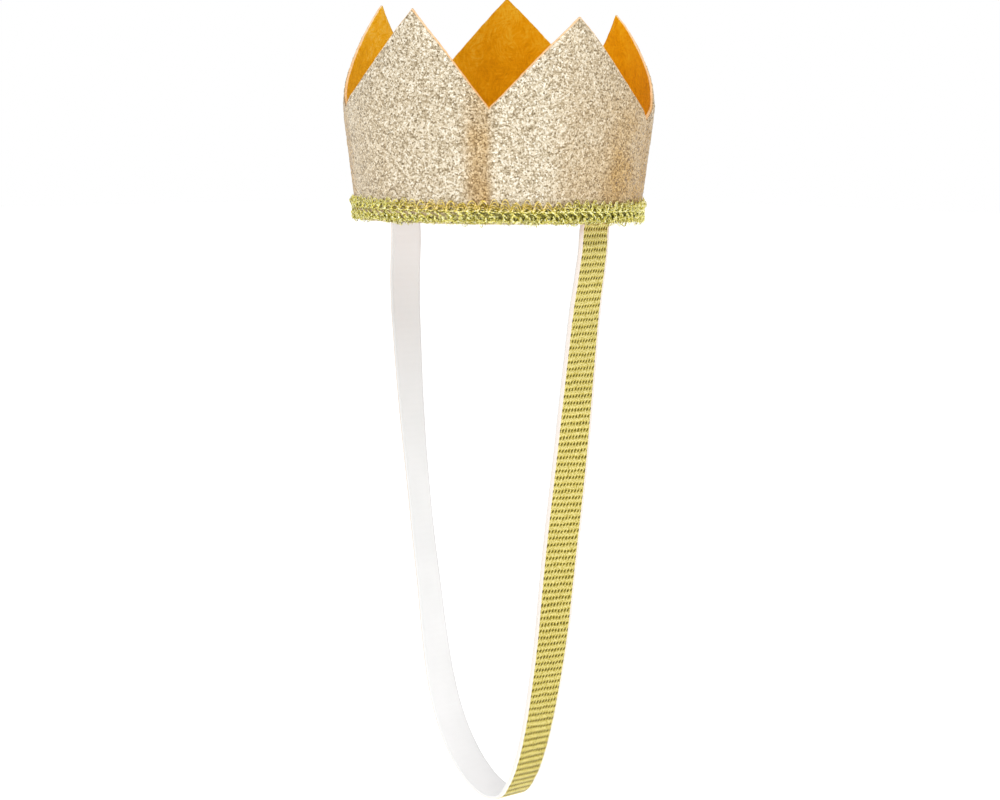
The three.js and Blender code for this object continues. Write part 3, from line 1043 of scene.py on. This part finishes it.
def add_seam_stitches(wall, thread):
    """A zigzag that closes the felt ring at its back seam."""
    low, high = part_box("seam_stitching")
    half = math.degrees(SEAM_HALF_WIDTH / wall.inner[0, 0])
    heights = np.linspace(low.z + 0.3 * MM, high.z - 0.3 * MM, SEAM_STITCHES + 1)
    turns = wall.turns[0] + half * np.where(np.arange(SEAM_STITCHES + 1) % 2, 1, -1)
    radius = np.interp(heights, wall.heights[0], wall.inner[0]) - 0.12 * MM
    corners = cylinder(turns, radius, heights)
    away = -unit(cylinder(turns[:-1], 1.0, 0 * turns[:-1]))
    stitches = stitch_arcs(corners[:-1], corners[1:], away, 0.25 * MM)
    piece = add_tubes("seam_zigzag", [(stitches, 0.2 * MM)], [thread], 6)
    finish_piece(piece, "sewing_thread", "seam_stitching")


# ---------------------------------------------------------------- studio


def add_area_light(name, direction, distance, size, power):
    """A square soft light that faces the crown."""
    target = Vector(LIGHT_TARGET)
    data = bpy.data.lights.new(name, "AREA")
    data.energy = power
    data.size = size
    light = bpy.data.objects.new(name, data)
    light.location = target + Vector(direction).normalized() * distance
    light.rotation_euler = (target - light.location).to_track_quat("-Z", "Y").to_euler()
    bpy.context.scene.collection.objects.link(light)


def add_sky():
    """A world that is white near the horizon and dimmer overhead."""
    world = bpy.data.worlds.new("studio")
    bpy.context.scene.world = world
    world.use_nodes = True
    nodes, links = world.node_tree.nodes, world.node_tree.links
    place = nodes.new("ShaderNodeTexCoord")
    parts = nodes.new("ShaderNodeSeparateXYZ")
    ramp = nodes.new("ShaderNodeValToRGB")
    links.new(place.outputs["Generated"], parts.inputs[0])
    links.new(parts.outputs["Z"], ramp.inputs["Fac"])
    links.new(ramp.outputs["Color"], nodes["Background"].inputs["Color"])
    low, high = ramp.color_ramp.elements
    low.position, low.color = SKY_EDGE, (1, 1, 1, 1)
    high.position, high.color = 2 * SKY_EDGE, (SKY_OVERHEAD, SKY_OVERHEAD, SKY_OVERHEAD, 1)


def add_floor():
    """A wide plain floor, as white as the horizon."""
    g = Graph("floor", Roughness=0.9, Emission_Color=(1, 1, 1, 1), Emission_Strength=FLOOR_GLOW)
    speckle = g.noise(g.place(), 0.2)
    paint = g.use(Base_Color=g.mix(speckle, (0.90, 0.90, 0.90, 1), (0.93, 0.93, 0.93, 1)))
    corners = FLOOR_HALF * np.array([(-1, -1), (1, -1), (1, 1), (-1, 1)])
    points = np.column_stack([corners, np.full(4, FLOOR_HEIGHT)])
    floor = add_mesh("floor", points, [np.array([[0, 1, 2, 3]])], [paint])


def add_studio():
    """A pale floor under a white sky, and soft lights round the camera's side."""
    bpy.context.scene.view_settings.view_transform = "Standard"
    add_sky()
    add_floor()
    front = Vector((math.sin(CAMERA_TURN), -math.cos(CAMERA_TURN), 0))
    right = Vector((math.cos(CAMERA_TURN), math.sin(CAMERA_TURN), 0))
    up = Vector((0, 0, 1))
    add_area_light("key", front + right * 0.35 + up * 0.8, 1.1, 0.5, 3.2)
    add_area_light("fill", front * 0.6 - right * 0.9 + up * 0.5, 1.2, 0.8, 1.0)
    add_area_light("top", up - front * 0.3, 1.2, 0.8, 1.5)
    add_area_light("back", up * 0.4 - front, 1.4, 0.8, 1.5)


# ---------------------------------------------------------------- the crown


add_camera()
add_strap()
shell_wall = Wall("glitter_shell")
felt_wall = Wall("felt_lining")
add_glitter_shell(shell_wall)
add_felt(felt_wall)
add_braid(Rim(shell_wall))
thread = sewing_material()
add_trim_stitches(thread)
add_tack("tack_stitch_right", "tack_right", thread)
add_tack("tack_stitch_left", "tack_left", thread)
add_seam_stitches(felt_wall, thread)
add_studio()
